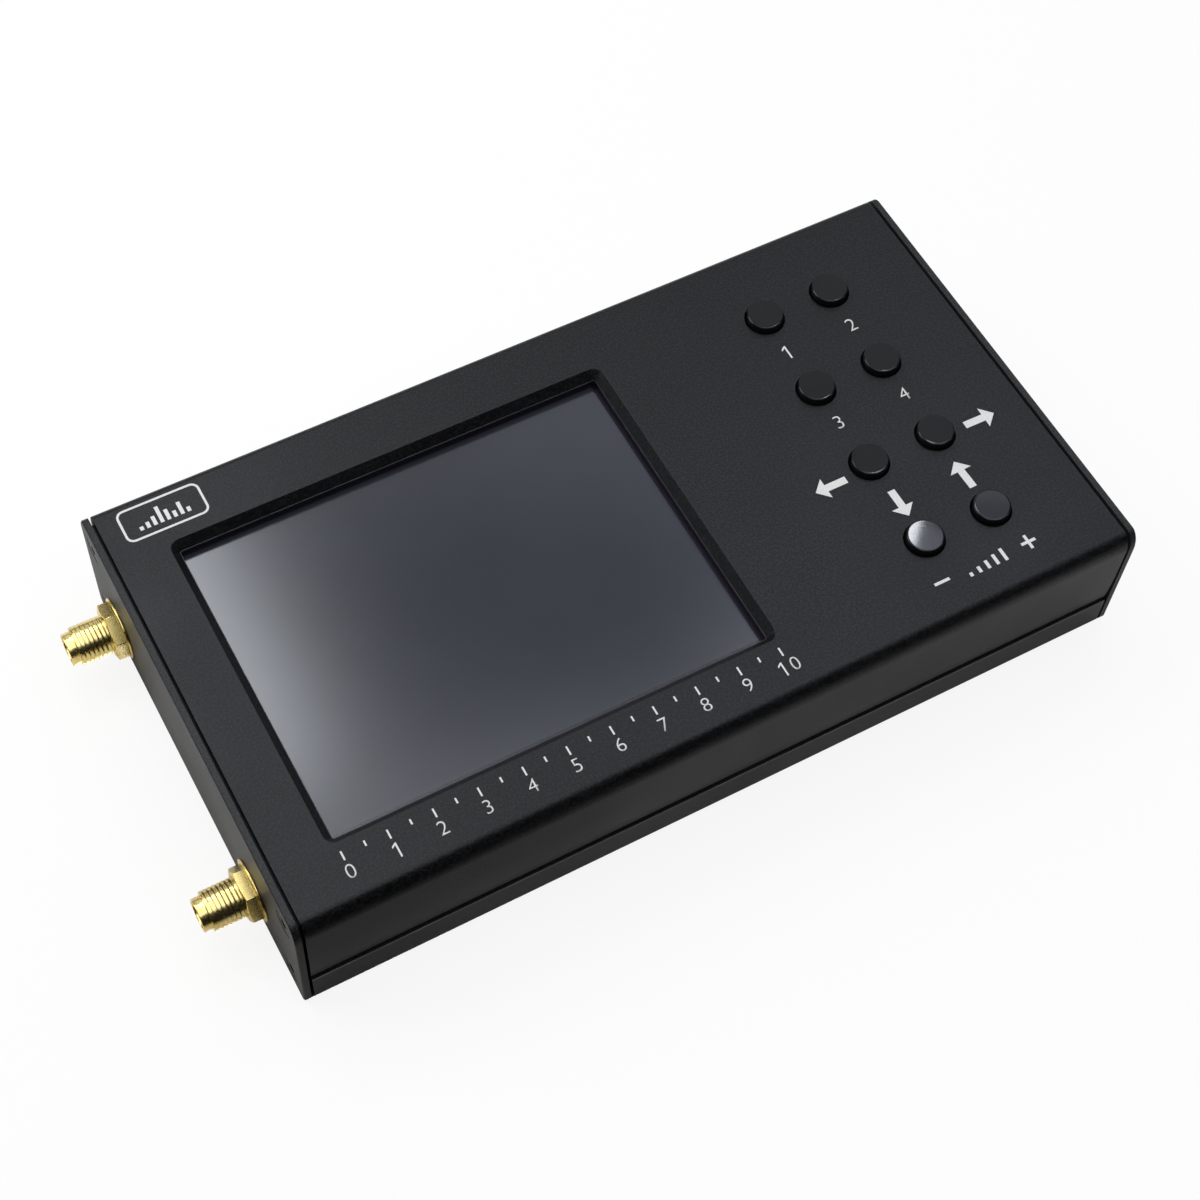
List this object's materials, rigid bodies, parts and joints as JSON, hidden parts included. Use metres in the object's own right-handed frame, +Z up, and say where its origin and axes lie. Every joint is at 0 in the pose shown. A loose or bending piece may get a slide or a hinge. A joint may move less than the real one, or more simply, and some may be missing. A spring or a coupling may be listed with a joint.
{
  "type": "handheld spectrum analyzer",
  "caption": "Flat black aluminium instrument case with a recessed colour display, a pad of round push keys and threaded gold coaxial jacks on one end plate.",
  "frame": {"origin": "centre of the underside of the case, on the surface it rests on", "axes": "+X along the length away from the jacks, +Y to the far long side, +Z up out of the display"},
  "size_m": [0.1538, 0.0776, 0.026],
  "materials": {
    "case_black": "fine blasted, black anodised, satin",
    "screw_black": "black oxide",
    "gasket_black": "closed foam, matte",
    "panel_glass": "glossy touch panel over a dark display",
    "panel_dark": "polariser film",
    "backlight_white": "white light guide",
    "tin_plate": "tinned sheet, satin",
    "ribbon_amber": "polyimide film",
    "connector_cream": "moulded nylon",
    "board_green": "solder mask",
    "switch_black": "moulded, matte",
    "key_black": "moulded, glossy",
    "plunger_white": "moulded",
    "gold": "gold plated brass",
    "dielectric_white": "PTFE",
    "screw_steel": "zinc plated",
    "foam_grey": "adhesive foam",
    "cell_foil": "laminated foil pouch",
    "lead_red": "wire insulation",
    "lamp_clear": "clear moulded lamp"
  },
  "bodies": {
    "case": {"upper_shell": "case_black", "lower_shell": "case_black", "left_plate": "case_black", "right_plate": "case_black", "left_plate_screws": "screw_black", "right_plate_screws": "screw_black", "display_gasket": "gasket_black", "touch_panel": "panel_glass", "lcd_panel": "panel_dark", "backlight": "backlight_white", "display_frame": "tin_plate", "shield_frame": "tin_plate", "shield_lid": "tin_plate", "usb_shell": "tin_plate", "power_switch_body": "tin_plate", "display_ribbon": "ribbon_amber", "ribbon_socket": "connector_cream", "battery_plug": "connector_cream", "front_board": "board_green", "rf_board": "board_green", "key_switches": "switch_black", "rf_chips": "switch_black", "logic_chips": "switch_black", "board_header": "switch_black", "usb_tongue": "switch_black", "in_jack_body": "gold", "in_jack_contact": "gold", "in_jack_nut": "gold", "in_jack_washer": "gold", "out_jack_body": "gold", "out_jack_contact": "gold", "out_jack_nut": "gold", "out_jack_washer": "gold", "in_jack_insulator": "dielectric_white", "out_jack_insulator": "dielectric_white", "rf_board_screws": "screw_steel", "battery_pad": "foam_grey", "battery": "cell_foil", "battery_leads": "lead_red", "status_led": "lamp_clear"},
    "key_1": {"key_1": "key_black", "key_plunger_1": "plunger_white"},
    "key_2": {"key_2": "key_black", "key_plunger_2": "plunger_white"},
    "key_3": {"key_3": "key_black", "key_plunger_3": "plunger_white"},
    "key_4": {"key_4": "key_black", "key_plunger_4": "plunger_white"},
    "key_5": {"key_5": "key_black", "key_plunger_5": "plunger_white"},
    "key_6": {"key_6": "key_black", "key_plunger_6": "plunger_white"},
    "key_7": {"key_7": "key_black", "key_plunger_7": "plunger_white"},
    "key_8": {"key_8": "key_black", "key_plunger_8": "plunger_white"},
    "power_slider": {"power_switch_slider": "switch_black"}
  },
  "joints": [
    {"name": "key_1_press", "type": "slide", "parent": "case", "child": "key_1", "axis": [0, 0, -1], "range_m": [0, 0.0005], "stiffness_N_per_m": 3000},
    {"name": "key_2_press", "type": "slide", "parent": "case", "child": "key_2", "axis": [0, 0, -1], "range_m": [0, 0.0005], "stiffness_N_per_m": 3000},
    {"name": "key_3_press", "type": "slide", "parent": "case", "child": "key_3", "axis": [0, 0, -1], "range_m": [0, 0.0005], "stiffness_N_per_m": 3000},
    {"name": "key_4_press", "type": "slide", "parent": "case", "child": "key_4", "axis": [0, 0, -1], "range_m": [0, 0.0005], "stiffness_N_per_m": 3000},
    {"name": "key_5_press", "type": "slide", "parent": "case", "child": "key_5", "axis": [0, 0, -1], "range_m": [0, 0.0005], "stiffness_N_per_m": 3000},
    {"name": "key_6_press", "type": "slide", "parent": "case", "child": "key_6", "axis": [0, 0, -1], "range_m": [0, 0.0005], "stiffness_N_per_m": 3000},
    {"name": "key_7_press", "type": "slide", "parent": "case", "child": "key_7", "axis": [0, 0, -1], "range_m": [0, 0.0005], "stiffness_N_per_m": 3000},
    {"name": "key_8_press", "type": "slide", "parent": "case", "child": "key_8", "axis": [0, 0, -1], "range_m": [0, 0.0005], "stiffness_N_per_m": 3000},
    {"name": "power_slide", "type": "slide", "parent": "case", "child": "power_slider", "axis": [0, 1, 0], "range_m": [0, 0.002]}
  ]
}
